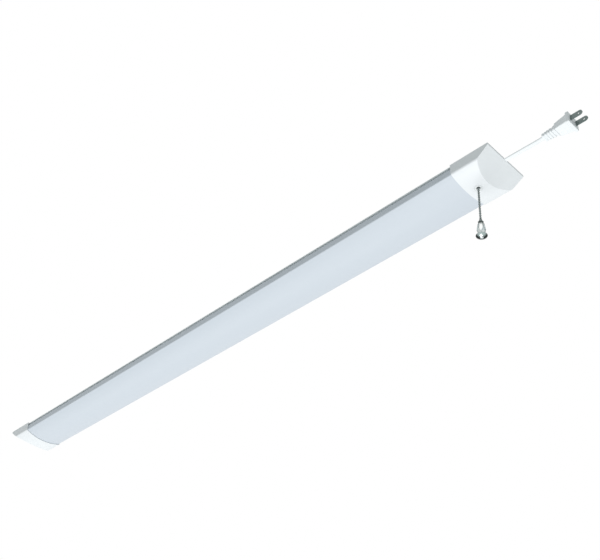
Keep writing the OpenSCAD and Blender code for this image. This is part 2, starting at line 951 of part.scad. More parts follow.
module switch_case() {
    color("darkslategray")
        difference() {
            block(switch_low, switch_high);
            block(switch_low + switch_wall * [1, 1, 1], switch_high + [-switch_wall, -switch_wall, 1]);
            translate([chain_x, 0, seat_z - 1])
                cylinder(r = guide_sleeve_d / 2 + screw_gap, h = switch_wall + 2);
            translate([rotor_x, -switch_width / 2 + switch_wall + 1, rotor_z])
                rotate([90, 0, 0])
                    cylinder(r = rotor_pin_r + screw_gap, h = switch_wall + 2);
            for (x = tab_x)
                block(
                    [x - tab_w / 2, switch_width / 2 - switch_wall - 1, tab_z[0]],
                    [x + tab_w / 2, switch_width / 2 + 1, tab_z[1]]
                );
        }
}

module switch_cover() {
    color("darkslategray")
        block(
            [switch_low[0], switch_low[1], case_top],
            [switch_high[0], switch_high[1], case_top + switch_wall]
        );
}

// Two brass strips on the inside of the case, each with a tab through its wall
module switch_contacts() {
    inner = switch_width / 2 - switch_wall;
    color("goldenrod")
        for (x = tab_x) {
            block([x - tab_w, inner - contact_t, seat_z + switch_wall + 0.5], [x + tab_w, inner, tab_z[1]]);
            block(
                [x - tab_w / 2, inner - contact_t, tab_z[0]],
                [x + tab_w / 2, switch_width / 2 + tab_reach, tab_z[1]]
            );
        }
}

// Rotor: a wheel with four teeth on a pin that turns in the wall of the case
module switch_rotor() {
    color("ivory")
        translate([rotor_x, 0, rotor_z])
            rotate([90, 0, 0]) {
                cylinder(r = rotor_pin_r, h = switch_width / 2 - eps);
                cylinder(r = 0.62 * rotor_r, h = rotor_w, center = true);
                intersection() {
                    cylinder(r = rotor_r, h = rotor_w - 2, center = true);
                    for (a = [0, 90])
                        rotate(a + 45)
                            cube([2 * rotor_r, 2, rotor_w - 2], center = true);
                }
            }
}

// Slider: carries the top bead of the chain in a socket and reaches past the rotor with its arm
module switch_slider() {
    arm_y = [rotor_w / 2 + 1, rotor_w / 2 + 2.5];
    side = switch_width / 2 - switch_wall - contact_t - 0.4;
    color("ivory")
        difference() {
            union() {
                block([chain_x - 4.6, -side, slider_bottom], [chain_x + 7, side, slider_top]);
                block([rotor_x - 1.4, arm_y[0], slider_bottom], [chain_x - 4, arm_y[1], slider_top]);
                block([rotor_x - 1.4, arm_y[0], slider_bottom - 4], [rotor_x + 0.6, arm_y[1], slider_top]);
            }
            translate([chain_x, 0, slider_bottom + slider_floor])
                cylinder(r = bead_r + screw_gap, h = slider_height);
            translate([chain_x, 0, slider_bottom - 1])
                cylinder(r = link_d / 2 + 0.15, h = slider_height);
        }
}

// Return spring between the nut and the slider
module switch_spring() {
    steps = 12;
    rise = (slider_bottom - nut_top - spring_wire) / spring_turns;
    path = [for (i = [0:spring_turns * steps])
        let (a = 360 * i / steps)
        [chain_x + spring_r * cos(a), spring_r * sin(a), nut_top + spring_wire / 2 + rise * i / steps]];
    color("silver")
        sweep(path, ring_points(spring_wire / 2, 6), [1, 0, 0]);
}

// Bead chain: beads on wire links, in the runs that move as one
module bead(z) {
    translate([chain_x, 0, z])
        sphere(r = bead_r);
}

module link(top, bottom) {
    translate([chain_x, 0, bottom])
        cylinder(d = link_d, h = top - bottom);
}

module upper_chain() {
    color("silver") {
        for (i = [0:beads_above])
            bead(pivot_z + i * bead_pitch);
        link(top_bead_z, pivot_z);
    }
}

module lead_bead() {
    color("silver") {
        bead(lead_z);
        link(pivot_z - bead_r - pivot_gap, lead_z);
    }
}

module bead_chain() {
    color("silver") {
        for (i = [1:lower_beads])
            bead(lead_z - i * bead_pitch);
        link(lead_z - bead_r - pivot_gap, last_z);
    }
}

// Coupling: a thin sleeve that turns freely on the last bead
module chain_coupling() {
    r = coupling_d / 2;
    inner = bead_r + 0.06;
    color("silver")
        translate([chain_x, 0, 0])
            rotate_extrude()
                polygon([
                    [link_d / 2 + 0.15, coupling_top],
                    [r - 0.7, coupling_top],
                    [r, coupling_top - 0.8],
                    [r, cap_flange_z],
                    [inner, cap_flange_z],
                    [inner, coupling_top - 0.7],
                    [link_d / 2 + 0.15, coupling_top - 0.3]
                ]);
}

module pendant_cap() {
    flange_r = pendant_flange_d / 2;
    color("silver")
        translate([chain_x, 0, cap_flange_z])
            rotate_extrude()
                polygon([
                    [0, 0],
                    [coupling_d / 2, 0],
                    [flange_r - 0.4, -0.1],
                    [flange_r, -0.5],
                    [flange_r, -0.9],
                    [flange_r - 0.4, -1.3],
                    [2.2, -1.5],
                    [2.2, -1.8],
                    [3.1 * crystal_k, -2.1],
                    [3.1 * crystal_k, -2.4],
                    [0, -2.4]
                ]);
}

// Six-sided crystal: it widens to below its middle, and six more cuts between its sides narrow the foot
module pendant_crystal() {
    color("azure", 0.5)
        translate([chain_x, 0, crystal_top])
            difference() {
                intersection() {
                    rotate(30)
                        crystal_cut([[3.4, 0], [4.7, -0.1], [6.3, -0.62], [5.2, -1]]);
                    crystal_cut([[7.6, 0], [7.6, -0.52], [3.4, -1]]);
                }
                translate([0, 0, -crystal_height - 1])
                    cylinder(r = stud_shank_r + 0.05, h = 5);
            }
}

// Six-sided body from the radius of its corners at each level, a level being a share of the crystal's height
module crystal_cut(levels) {
    last = levels[len(levels) - 1];
    scaled = [for (p = levels) [p[0] * crystal_k, p[1] * crystal_height]];
    rotate_extrude($fn = 6)
        polygon(concat([[0, 0]], scaled, [[0, last[1] * crystal_height]]));
}

// Skirt: a thick plate under the crystal, with a domed underside and a flat seat for the stud
module pendant_skirt() {
    rim = skirt_d / 2;
    seat = stud_d / 2 / rim;
    dome = [for (i = [0:8])
        let (k = 1 - (1 - seat) * i / 8)
        [rim * k, skirt_rim_z - (skirt_rim_z - skirt_low_z) * (1 - k * k) / (1 - seat * seat)]];
    color("dimgray")
        translate([chain_x, 0, 0])
            rotate_extrude()
                polygon(concat([
                    [stud_shank_r + 0.05, skirt_low_z],
                    [stud_shank_r + 0.05, crystal_bottom],
                    [3.8 * crystal_k, crystal_bottom],
                    [rim - 1.4, skirt_rim_z + 0.6],
                    [rim - 0.2, skirt_rim_z + 0.3]
                ], dome));
}

module pendant_stud() {
    head_r = stud_d / 2;
    color("silver")
        translate([chain_x, 0, skirt_low_z])
            rotate_extrude()
                polygon([
                    [0, -0.9],
                    [head_r - 0.8, -0.9],
                    [head_r - 0.2, -0.5],
                    [head_r - 0.1, 0],
                    [stud_shank_r, 0],
                    [stud_shank_r, skirt_height + 4],
                    [0, skirt_height + 4]
                ]);
}

module cord() {
    color("white")
        sweep(cord_route, cord_outline(), [0, 1, 0]);
}

// Plug, drawn with the end of the cord at its origin and its blades towards -X
module at_plug() {
    translate(cord_end)
        rotate([0, -plug_tilt, 0])
            children();
}

module plug_outline(w, h, r) {
    translate([-w / 2 + r, -h / 2])
        square([w - 2 * r, h]);
    translate([-w / 2, -h / 2 + r])
        square([w, h - 2 * r]);
    for (i = [-1, 1], j = [-1, 1])
        translate([i * (w / 2 - r), j * (h / 2 - r)])
            circle(r = r);
}

// Slice of the plug between two distances from the end of the cord
module plug_slice(start, stop, w, h, r) {
    along_x(-stop, -start)
        plug_outline(w, h, r);
}

module strain_relief() {
    pitch = relief_length / relief_ribs;
    plug_slice(0, relief_length + 1, 10.6, 5, 1.8);
    for (i = [0:relief_ribs - 1])
        plug_slice(i * pitch, i * pitch + 0.74 * pitch, 12.6 + 0.6 * i, 6.4 + 0.3 * i, 2.2);
}

module blade(side) {
    h = blade_h;
    face = relief_length + plug_length;
    translate([0, side * blade_spacing / 2, 0])
        rotate([90, 0, 0])
            linear_extrude(blade_t, center = true)
                difference() {
                    union() {
                        translate([-face - blade_length + h / 2, -h / 2])
                            square([blade_length + blade_grip - h / 2, h]);
                        intersection() {
                            translate([-face - blade_length + h / 2, 0])
                                circle(d = h);
                            translate([-face - blade_length, -h / 2])
                                square([h, h]);
                        }
                    }
                    translate([-face - 0.69 * blade_length, 0])
                        circle(d = blade_hole_d);
                }
}

module plug_body() {
    face = relief_length + plug_length;
    shoulder = relief_length + 5;
    flange = face - flange_t;
    color("white")
        at_plug()
            difference() {
                union() {
                    strain_relief();
                    plug_slice(relief_length, shoulder + 1, 12.4, 6.6, 1.6);
                    hull() {
                        plug_slice(relief_length, relief_length + 0.5, 13.4, 7, 2, $fn = 32);
                        plug_slice(shoulder - 1.3, shoulder - 0.8, 15, 8.8, 1.6, $fn = 32);
                    }
                    hull() {
                        plug_slice(shoulder, shoulder + 0.5, 16.8, 10.8, 1.2, $fn = 32);
                        plug_slice(flange, flange + 0.5, plug_face_w - 2.5, plug_face_h - 4.2, 1.6, $fn = 32);
                    }
                    plug_slice(flange, face - 0.6, plug_face_w, plug_face_h, 1.6);
                    plug_slice(face - 0.6 - eps, face, plug_face_w - 0.8, plug_face_h - 0.8, 1.4);
                }
                for (side = [-1, 1])
                    blade(side);
            }
}

module plug_blades() {
    color("darkgray")
        at_plug()
            for (side = [-1, 1])
                blade(side);
}

housing();
diffuser();
near_end_cap();
far_end_cap();
led_tray();
led_board_near();
led_board_far();
led_chips();
board_connector();
driver_case();
driver_cover();
driver_board();
driver_components();
driver_screws();
tray_screws();
board_screws();
end_cap_screws();
cord_anchor();
cord_tail();
switch_lead();
driver_leads();
led_leads();
chain_guide();
guide_nut();
switch_case();
switch_cover();
switch_contacts();
switch_rotor();
switch_slider();
switch_spring();
upper_chain();
lead_bead();
bead_chain();
chain_coupling();
pendant_cap();
pendant_crystal();
pendant_skirt();
pendant_stud();
cord();
plug_body();
plug_blades();
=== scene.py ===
import math

import bmesh
import bpy
from mathutils import Matrix, Vector


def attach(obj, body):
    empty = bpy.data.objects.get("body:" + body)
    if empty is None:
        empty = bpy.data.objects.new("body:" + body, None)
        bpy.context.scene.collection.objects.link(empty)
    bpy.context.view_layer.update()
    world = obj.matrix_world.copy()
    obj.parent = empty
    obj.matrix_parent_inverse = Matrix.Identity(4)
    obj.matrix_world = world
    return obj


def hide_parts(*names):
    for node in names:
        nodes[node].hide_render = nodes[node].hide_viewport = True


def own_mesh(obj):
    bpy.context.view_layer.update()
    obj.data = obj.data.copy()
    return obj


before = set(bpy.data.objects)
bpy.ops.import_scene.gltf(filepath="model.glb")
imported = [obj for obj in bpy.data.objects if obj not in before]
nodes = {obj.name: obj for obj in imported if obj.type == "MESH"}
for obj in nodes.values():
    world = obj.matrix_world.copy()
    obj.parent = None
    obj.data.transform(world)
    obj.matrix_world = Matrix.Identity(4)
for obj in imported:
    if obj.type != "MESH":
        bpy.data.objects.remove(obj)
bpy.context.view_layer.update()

scene = bpy.context.scene


def mm(*values):
    """A vector in metres from millimetres."""
    return Vector([v / 1000 for v in values])


# ---------------------------------------------------------------- camera

# Where the photograph was taken from: below the near end and to one side, looking up along the light
LENS = 55.09
SENSOR_WIDTH = 36
FAR_CLIP = 100
EYE = (-1054.99, 738.25, -915.24)
EYE_RIGHT = (-0.69957, -0.71083, 0.07301)
EYE_AHEAD = (0.58373, -0.50955, 0.63215)

camera = bpy.data.cameras.new("camera")
camera.lens = LENS
camera.sensor_width = SENSOR_WIDTH
camera.clip_end = FAR_CLIP
camera_object = bpy.data.objects.new("camera", camera)
right = Vector(EYE_RIGHT).normalized()
ahead = Vector(EYE_AHEAD)
ahead = (ahead - right * ahead.dot(right)).normalized()
above = right.cross(ahead)
turn = Matrix((right, above, -ahead)).transposed().to_4x4()
camera_object.matrix_world = Matrix.Translation(mm(*EYE)) @ turn
scene.collection.objects.link(camera_object)
scene.camera = camera_object


# ---------------------------------------------------------------- meshes

def new_piece(name, bm, sharp_angle=35):
    """A mesh object from bm, smooth where faces meet at less than sharp_angle."""
    mesh = bpy.data.meshes.new(name)
    bm.to_mesh(mesh)
    bm.free()
    for polygon in mesh.polygons:
        polygon.use_smooth = True
    mesh.set_sharp_from_angle(angle=math.radians(sharp_angle))
    piece = bpy.data.objects.new(name, mesh)
    scene.collection.objects.link(piece)
    return piece


def loft(bm, rings):
    """Skins rings of equal length and closes both ends with fans."""
    rows = [[bm.verts.new(p) for p in ring] for ring in rings]
    count = len(rings[0])
    for a, b in zip(rows, rows[1:]):
        for i in range(count):
            bm.faces.new((a[i], a[(i + 1) % count], b[(i + 1) % count], b[i]))
    for row in (rows[0], rows[-1]):
        middle = bm.verts.new(sum((v.co for v in row), Vector()) / count)
        for i in range(count):
            bm.faces.new((row[i], row[(i + 1) % count], middle))
    bmesh.ops.recalc_face_normals(bm, faces=bm.faces)


def rounded(points, radius, steps=3):
    """An outline with its inner corners rounded; a corner keeps its place where its sides are too short."""
    out = [Vector(points[0])]
    for before, corner, after in zip(points, points[1:], points[2:]):
        before, corner, after = Vector(before), Vector(corner), Vector(after)
        cut = min(radius, 0.45 * (before - corner).length, 0.45 * (after - corner).length)
        start = corner + (before - corner).normalized() * cut
        stop = corner + (after - corner).normalized() * cut
        for i in range(steps + 1):
            t = i / steps
            out.append(start * (1 - t) ** 2 + corner * 2 * t * (1 - t) + stop * t ** 2)
    out.append(Vector(points[-1]))
    return out


def turned(name, outline, centre, steps=64, radius=0.25, sharp_angle=50):
    """A turned piece: an outline of (radius, height) in millimetres, spun about the vertical through centre."""
    bm = bmesh.new()
    rows = []
    for r, z in rounded(outline, radius):
        if r < 1e-6:
            rows.append([bm.verts.new(centre + mm(0, 0, z))])
        else:
            rows.append([bm.verts.new(centre + mm(r * math.cos(a), r * math.sin(a), z))
                         for a in (2 * math.pi * i / steps for i in range(steps))])
    for a, b in zip(rows, rows[1:]):
        for i in range(steps):
            j = (i + 1) % steps
            if len(a) == 1 and len(b) == 1:
                continue
            if len(a) == 1:
                bm.faces.new((a[0], b[j], b[i]))
            elif len(b) == 1:
                bm.faces.new((a[i], a[j], b[0]))
            else:
                bm.faces.new((a[i], a[j], b[j], b[i]))
    bmesh.ops.remove_doubles(bm, verts=bm.verts, dist=1e-7)
    bmesh.ops.recalc_face_normals(bm, faces=bm.faces)
    return new_piece(name, bm, sharp_angle)


def finish_piece(piece, body, slot, material, *replaced):
    """Gives a piece its material and body; slot is not used. Without a material it keeps those that it has."""
    if material:
        piece.data.materials.clear()
        piece.data.materials.append(material)
    if replaced:
        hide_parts(*replaced)
    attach(piece, body)


# ---------------------------------------------------------------- materials

def linear(colour):
    """sRGB hex to the linear colour that a socket takes."""
    parts = [int(colour[i:i + 2], 16) / 255 for i in (0, 2, 4)]
    return [c / 12.92 if c <= 0.04045 else ((c + 0.055) / 1.055) ** 2.4 for c in parts] + [1]


def add(tree, kind, inputs=None, **settings):
    """Adds a node with its settings. An input is a value, or another node's output to link from."""
    made = tree.nodes.new(kind)
    for key, value in settings.items():
        setattr(made, key, value)
    for key, value in (inputs or {}).items():
        if isinstance(value, bpy.types.NodeSocket):
            tree.links.new(value, made.inputs[key])
        else:
            made.inputs[key].default_value = value
    return made


def new_material(name):
    """A material with only an output node, its tree and that node."""
    material = bpy.data.materials.new(name)
    material.use_nodes = True
    tree = material.node_tree
    tree.nodes.clear()
    output = add(tree, "ShaderNodeOutputMaterial")
    return material, tree, output


def blend(tree, factor, low, high):
    """A colour between two. The node has sockets for every kind of data, so its colours go by place."""
    return add(tree, "ShaderNodeMix", {"Factor": factor, 6: linear(low), 7: linear(high)}, data_type="RGBA").outputs[2]


def surface(name, low, high, roughness, grain, bump, metallic=0, stretch=(1, 1, 1)):
    """A finish whose colour, roughness and relief vary with one noise. grain is its size in millimetres."""
    material, tree, output = new_material(name)
    place = add(tree, "ShaderNodeTexCoord").outputs["Object"]
    place = add(tree, "ShaderNodeMapping", {"Vector": place, "Scale": stretch}).outputs["Vector"]
    fine = add(tree, "ShaderNodeTexNoise", {"Vector": place, "Scale": 1000 / grain, "Detail": 3, "Roughness": 0.6})
    wide = add(tree, "ShaderNodeTexNoise", {"Vector": place, "Scale": 60 / grain, "Detail": 2})
    rough = add(tree, "ShaderNodeMapRange", {
        "Value": fine.outputs["Fac"], "From Min": 0.3, "From Max": 0.7,
        "To Min": roughness - 0.06, "To Max": roughness + 0.06})
    relief = add(tree, "ShaderNodeBump", {"Height": fine.outputs["Fac"], "Strength": 1, "Distance": bump / 1000})
    shader = add(tree, "ShaderNodeBsdfPrincipled", {
        "Base Color": blend(tree, wide.outputs["Fac"], low, high), "Roughness": rough.outputs["Result"],
        "Normal": relief.outputs["Normal"], "Metallic": metallic})
    tree.links.new(shader.outputs["BSDF"], output.inputs["Surface"])
    return material


# Powder coat on steel: a fine orange peel under a soft gloss
powder_coat = surface("powder_coat_white", "E6EAEB", "EDF0F1", 0.42, 1.2, 0.006)
# Extruded acrylic with a milky body: satin, with faint lines along the extrusion
milky_acrylic = surface("milky_acrylic", "CAD0D8", "D2D7DE", 0.38, 2.5, 0.01, stretch=(0.02, 1, 1))
# Moulded ABS: a fine spark-eroded grain, semi-gloss
moulded_abs = surface("moulded_abs_white", "E8EAEC", "EEEFF1", 0.34, 0.6, 0.002)
# Acetal, for the small gloss mouldings
acetal_white = surface("acetal_white", "E6E9EA", "F0F1F2", 0.28, 0.8, 0.004)
# Soft vinyl of cord and plug: slightly waxy
soft_vinyl = surface("soft_vinyl_white", "ECEEF0", "F4F5F6", 0.45, 0.9, 0.002)
# Solder mask over fibreglass: a smooth lacquer, white to throw the light out, green on the driver's board
board_white = surface("solder_mask_white", "E4E4E0", "EEEEEA", 0.35, 0.5, 0.004)
board_green = surface("solder_mask_green", "17502C", "1F6136", 0.35, 0.5, 0.004)
# Silicone with phosphor over each LED: a yellow, slightly glossy drop
phosphor = surface("phosphor_silicone", "D8C24A", "E6D25C", 0.3, 0.4, 0.004)
# Moulded polycarbonate of the driver's case: plain white, matter than the end caps
driver_plastic = surface("polycarbonate_white", "DEDEDB", "E6E6E3", 0.45, 0.7, 0.01)
# Sleeves and casings of the driver's parts: near black with a dull sheen
component_plastic = surface("dark_casing", "1C1D20", "2A2B2E", 0.4, 0.6, 0.01)
# Phenolic resin of the switch: black and dry
phenolic = surface("moulded_phenolic", "161719", "222326", 0.5, 0.5, 0.012)
# Natural nylon of the moving parts and the connector: ivory, slightly waxy
nylon = surface("natural_nylon", "DAD6C4", "E4E1D2", 0.42, 0.6, 0.006)
# Vinyl on the inner wires: smooth, in the colours that tell them apart
wire_black = surface("vinyl_black", "0C0C0D", "161617", 0.45, 0.8, 0.006)
wire_white = surface("vinyl_white", "DCDCD9", "E8E8E6", 0.45, 0.8, 0.006)
wire_red = surface("vinyl_red", "8E1C16", "A02820", 0.45, 0.8, 0.006)
# Zinc plated steel of screws, nut and spring: pale grey metal with a fine turned grain
zinc_steel = surface("zinc_plated_steel", "B2B6BA", "C4C8CC", 0.32, 0.5, 0.006, metallic=1)
# Stamped brass of the switch's contacts: warm yellow metal
brass = surface("stamped_brass", "BE9440", "D0A850", 0.3, 0.5, 0.006, metallic=1)


# Grain and relief of the plating, in millimetres
PLATING_GRAIN = 0.5
PLATING_BUMP = 0.004


def metal_with_painted_rims(name, face, painted_rim_colour, roughness, start=0.12, stop=0.62):
    """Bright plating that mirrors the room; its colour is painted from the face colour to a dark rim where it curves
    away from the eye, a painted reflection.
    """
    material, tree, output = new_material(name)
    place = add(tree, "ShaderNodeTexCoord").outputs["Object"]
    fine = add(tree, "ShaderNodeTexNoise", {"Vector": place, "Scale": 1000 / PLATING_GRAIN, "Detail": 3})
    away = add(tree, "ShaderNodeLayerWeight", {"Blend": 0.5})
    painted_tone_ramp = add(tree, "ShaderNodeMapRange", {
        "Value": away.outputs["Facing"], "From Min": start, "From Max": stop, "To Min": 0, "To Max": 1})
    rough = add(tree, "ShaderNodeMapRange", {
        "Value": fine.outputs["Fac"], "From Min": 0.3, "From Max": 0.7,
        "To Min": roughness * 0.7, "To Max": roughness * 1.3})
    relief = add(tree, "ShaderNodeBump", {"Height": fine.outputs["Fac"], "Distance": PLATING_BUMP / 1000})
    shader = add(tree, "ShaderNodeBsdfPrincipled", {
        "Base Color": blend(tree, painted_tone_ramp.outputs["Result"], face, painted_rim_colour), "Metallic": 1,
        "Roughness": rough.outputs["Result"], "Normal": relief.outputs["Normal"]})
    tree.links.new(shader.outputs["BSDF"], output.inputs["Surface"])
    return material


# Nickel plate on the chain, its coupling and the pendant's collar: grey metal with painted dark rims, a painted
# reflection. The stud's is polished, and its painted rims stay light
nickel = metal_with_painted_rims("nickel_plate", "8C9594", "2A3231", 0.2)
nickel_bright = metal_with_painted_rims("nickel_plate_bright", "F4F6F6", "A8B0B0", 0.16)
# Nickel plated brass of the plug's blades: drawn strip, duller than the chain, with milder painted dark rims
blade_nickel = metal_with_painted_rims("nickel_plated_strip", "7C8886", "5C6866", 0.36)


def cut_acrylic(name, face, side, start, stop, clear):
    """Clear acrylic, cut and polished: its colour is painted bright where it faces the eye and grey-green where it
    turns away, painted shade for the light it bends away.
    """
    material, tree, output = new_material(name)
    away = add(tree, "ShaderNodeLayerWeight", {"Blend": 0.5})
    painted_tone_ramp = add(tree, "ShaderNodeMapRange", {
        "Value": away.outputs["Facing"], "From Min": start, "From Max": stop, "To Min": 0, "To Max": 1})
    place = add(tree, "ShaderNodeTexCoord").outputs["Object"]
    flow = add(tree, "ShaderNodeTexNoise", {"Vector": place, "Scale": 160, "Detail": 1})
    rough = add(tree, "ShaderNodeMapRange", {"Value": flow.outputs["Fac"], "To Min": 0.02, "To Max": 0.08})
    shader = add(tree, "ShaderNodeBsdfPrincipled", {
        "Base Color": blend(tree, painted_tone_ramp.outputs["Result"], face, side), "Roughness": rough.outputs["Result"],
        "IOR": 1.49, "Transmission Weight": clear})
    tree.links.new(shader.outputs["BSDF"], output.inputs["Surface"])
    return material


# The pendant's clear faces: painted white where they face the eye, with a painted grey-green outline of shade
crystal = cut_acrylic("cut_acrylic_faces", "FBFEFD", "6F7C78", 0.38, 0.5, 1)
# The narrow cuts between its faces: a darker copy of the faces' material, painted shade
crystal_cuts_painted_shade = cut_acrylic("cut_acrylic_bevels_painted_shade", "EAF2F0", "5A6764", 0.1, 0.4, 0.5)
# Nickel of the skirt, polished: painted light where it faces the eye and nearly black where its dome curves away, a
# painted reflection
skirt_painted_reflection = metal_with_painted_rims("skirt_nickel_painted_reflection", "BCC7C4", "1B2322", 0.22, 0.12, 0.35)


# ---------------------------------------------------------------- cord

# Diameter of one core, half the angle of its round that shows, and the steps along it
CORE = 3.1
CORE_ARC = 139
ARC_STEPS = 16
# The same points as the cord's route in the part's source, in millimetres
cord_route = [
    (-600, 0, -1.6), (-604, 0, -1.61), (-608, 0, -1.64), (-612, 0, -1.68), (-616, 0, -1.74),
    (-620, 0, -1.81), (-624, 0, -1.89), (-628, 0, -1.96), (-632, 0, -2.05), (-636, 0, -2.12),
    (-640, 0, -2.2), (-644, 0, -2.27), (-648, 0, -2.32), (-652, 0, -2.37), (-656, 0, -2.39),
    (-659.5, 0, -2.4),
]
route = [mm(*p) for p in cord_route]


def headings(path):
    """The direction of a path at each of its points."""
    out = []
    for i in range(len(path)):
        a, b = path[max(i - 1, 0)], path[min(i + 1, len(path) - 1)]
        out.append((b - a).normalized())
    return out


def flat_cord_outline():
    """Two round cores with a web between them: a figure of eight with soft valleys."""
    half = []
    for i in range(ARC_STEPS + 1):
        a = math.radians(-CORE_ARC + 2 * CORE_ARC * i / ARC_STEPS)
        half.append((CORE / 2 * (1 + math.cos(a)), CORE / 2 * math.sin(a)))
    return half + [(-x, -z) for x, z in half]


def flat_cord(path, outline):
    """The outline swept along the path, lying flat."""
    bm = bmesh.new()
    rings = []
    for point, heading in zip(path, headings(path)):
        side = Vector((0, 1, 0))
        top = heading.cross(side).normalized()
        rings.append([point + side * (x / 1000) + top * (z / 1000) for x, z in outline])
    loft(bm, rings)
    return new_piece("flat_cord", bm, 60)


cord_piece = flat_cord(route, flat_cord_outline())
finish_piece(cord_piece, "light", "cord_white", soft_vinyl, "cord")

# ---------------------------------------------------------------- plug

# Millimetres: length of the ribbed relief, of the plug after it and of the flange, the face's size, where the
# shoulder starts after the relief, and the ribs with the share of their pitch that they fill
RELIEF = 15.4
PLUG = 27.6
FLANGE = 4
FACE_W = 24
FACE_H = 18.6
SHOULDER = 5
RIBS = 4
RIB_SHARE = 0.74
# Width, height and corner radius of the grooves between the ribs and of the one before the shoulder
GROOVE = (10.6, 5, 1.8)
NECK = (12.4, 6.6, 1.6)
face_at = RELIEF + PLUG
shoulder_at = RELIEF + SHOULDER
flange_at = face_at - FLANGE
along = (route[-1] - route[-2]).normalized()
plug_side = Vector((0, 1, 0))
plug_top = -along.cross(plug_side).normalized()
if plug_top.z < 0:
    plug_top = -plug_top


def plug_ring(distance, w, h, r, steps=6):
    """Rounded rectangle across the plug, at a distance from the end of the cord."""
    points = []
    for sy, sz, start in ((1, 1, 0), (-1, 1, 90), (-1, -1, 180), (1, -1, 270)):
        for i in range(steps + 1):
            a = math.radians(start + 90 * i / steps)
            y = sy * (w / 2 - r) + r * math.cos(a)
            z = sz * (h / 2 - r) + r * math.sin(a)
            points.append(route[-1] + along * (distance / 1000) + plug_side * (y / 1000) + plug_top * (z / 1000))
    return points


def plug_body():
    """One vinyl moulding: ribbed relief, neck, wedge and flange."""
    rings = []
    pitch = RELIEF / RIBS
    for i in range(RIBS):
        start = i * pitch
        stop = start + RIB_SHARE * pitch
        w, h = 12.6 + 0.6 * i, 6.4 + 0.3 * i
        rings += [
            plug_ring(start, w - 0.7, h - 0.7, 1.9),
            plug_ring(start + 0.35, w, h, 2.2),
            plug_ring(stop - 0.35, w, h, 2.2),
            plug_ring(stop, w - 0.7, h - 0.7, 1.9),
            plug_ring(stop + 0.05, *GROOVE),
            plug_ring(start + pitch - 0.05, *GROOVE),
        ]
    rings += [
        plug_ring(RELIEF, 12.9, 6.6, 2),
        plug_ring(RELIEF + 0.3, 13.4, 7, 2),
        plug_ring(shoulder_at - 1.1, 15, 8.8, 1.6),
        plug_ring(shoulder_at - 0.8, 14.5, 8.3, 1.5),
        plug_ring(shoulder_at - 0.75, *NECK),
        plug_ring(shoulder_at - 0.05, *NECK),
        plug_ring(shoulder_at, 16.2, 10.2, 1.1),
        plug_ring(shoulder_at + 0.3, 16.8, 10.8, 1.2),
        plug_ring(flange_at - 0.8, FACE_W - 2.6, FACE_H - 4.3, 1.6),
        plug_ring(flange_at - 0.2, FACE_W - 2.1, FACE_H - 3.8, 1.6),
        plug_ring(flange_at, FACE_W - 1.5, FACE_H - 3, 1.6),
        plug_ring(flange_at + 0.02, FACE_W - 0.6, FACE_H - 0.6, 1.4),
        plug_ring(flange_at + 0.3, FACE_W, FACE_H, 1.6),
        plug_ring(face_at - 0.5, FACE_W, FACE_H, 1.6),
        plug_ring(face_at - 0.15, FACE_W - 0.3, FACE_H - 0.3, 1.5),
        plug_ring(face_at, FACE_W - 0.9, FACE_H - 0.9, 1.3),
    ]
    bm = bmesh.new()
    loft(bm, rings)
    return new_piece("plug_moulding", bm, 32)


plug_piece = plug_body()
finish_piece(plug_piece, "light", "cord_white", soft_vinyl, "plug_body")

# ---------------------------------------------------------------- pull chain

# Millimetres: where the chain hangs, heights of the guide's nut, its mouth and the bead that the chain swings on,
# pitch and radius of the beads, radius of the links and the room that a link leaves below the bead above
LIGHT_LENGTH = 1200
CHAIN_INSET = 46
NUT_TOP = -19.05
MOUTH = -24.5
PIVOT = MOUTH - 4
PITCH = 4.2
BEAD = 1.6
LINK = 0.45
LINK_ROOM = 0.05
TOP_BEADS = 6
HANGING_BEADS = 12
FIRST = PIVOT + (TOP_BEADS - 1) * PITCH
LAST = PIVOT - (1 + HANGING_BEADS) * PITCH
chain_x = CHAIN_INSET - LIGHT_LENGTH / 2
axis = mm(chain_x, 0, 0)


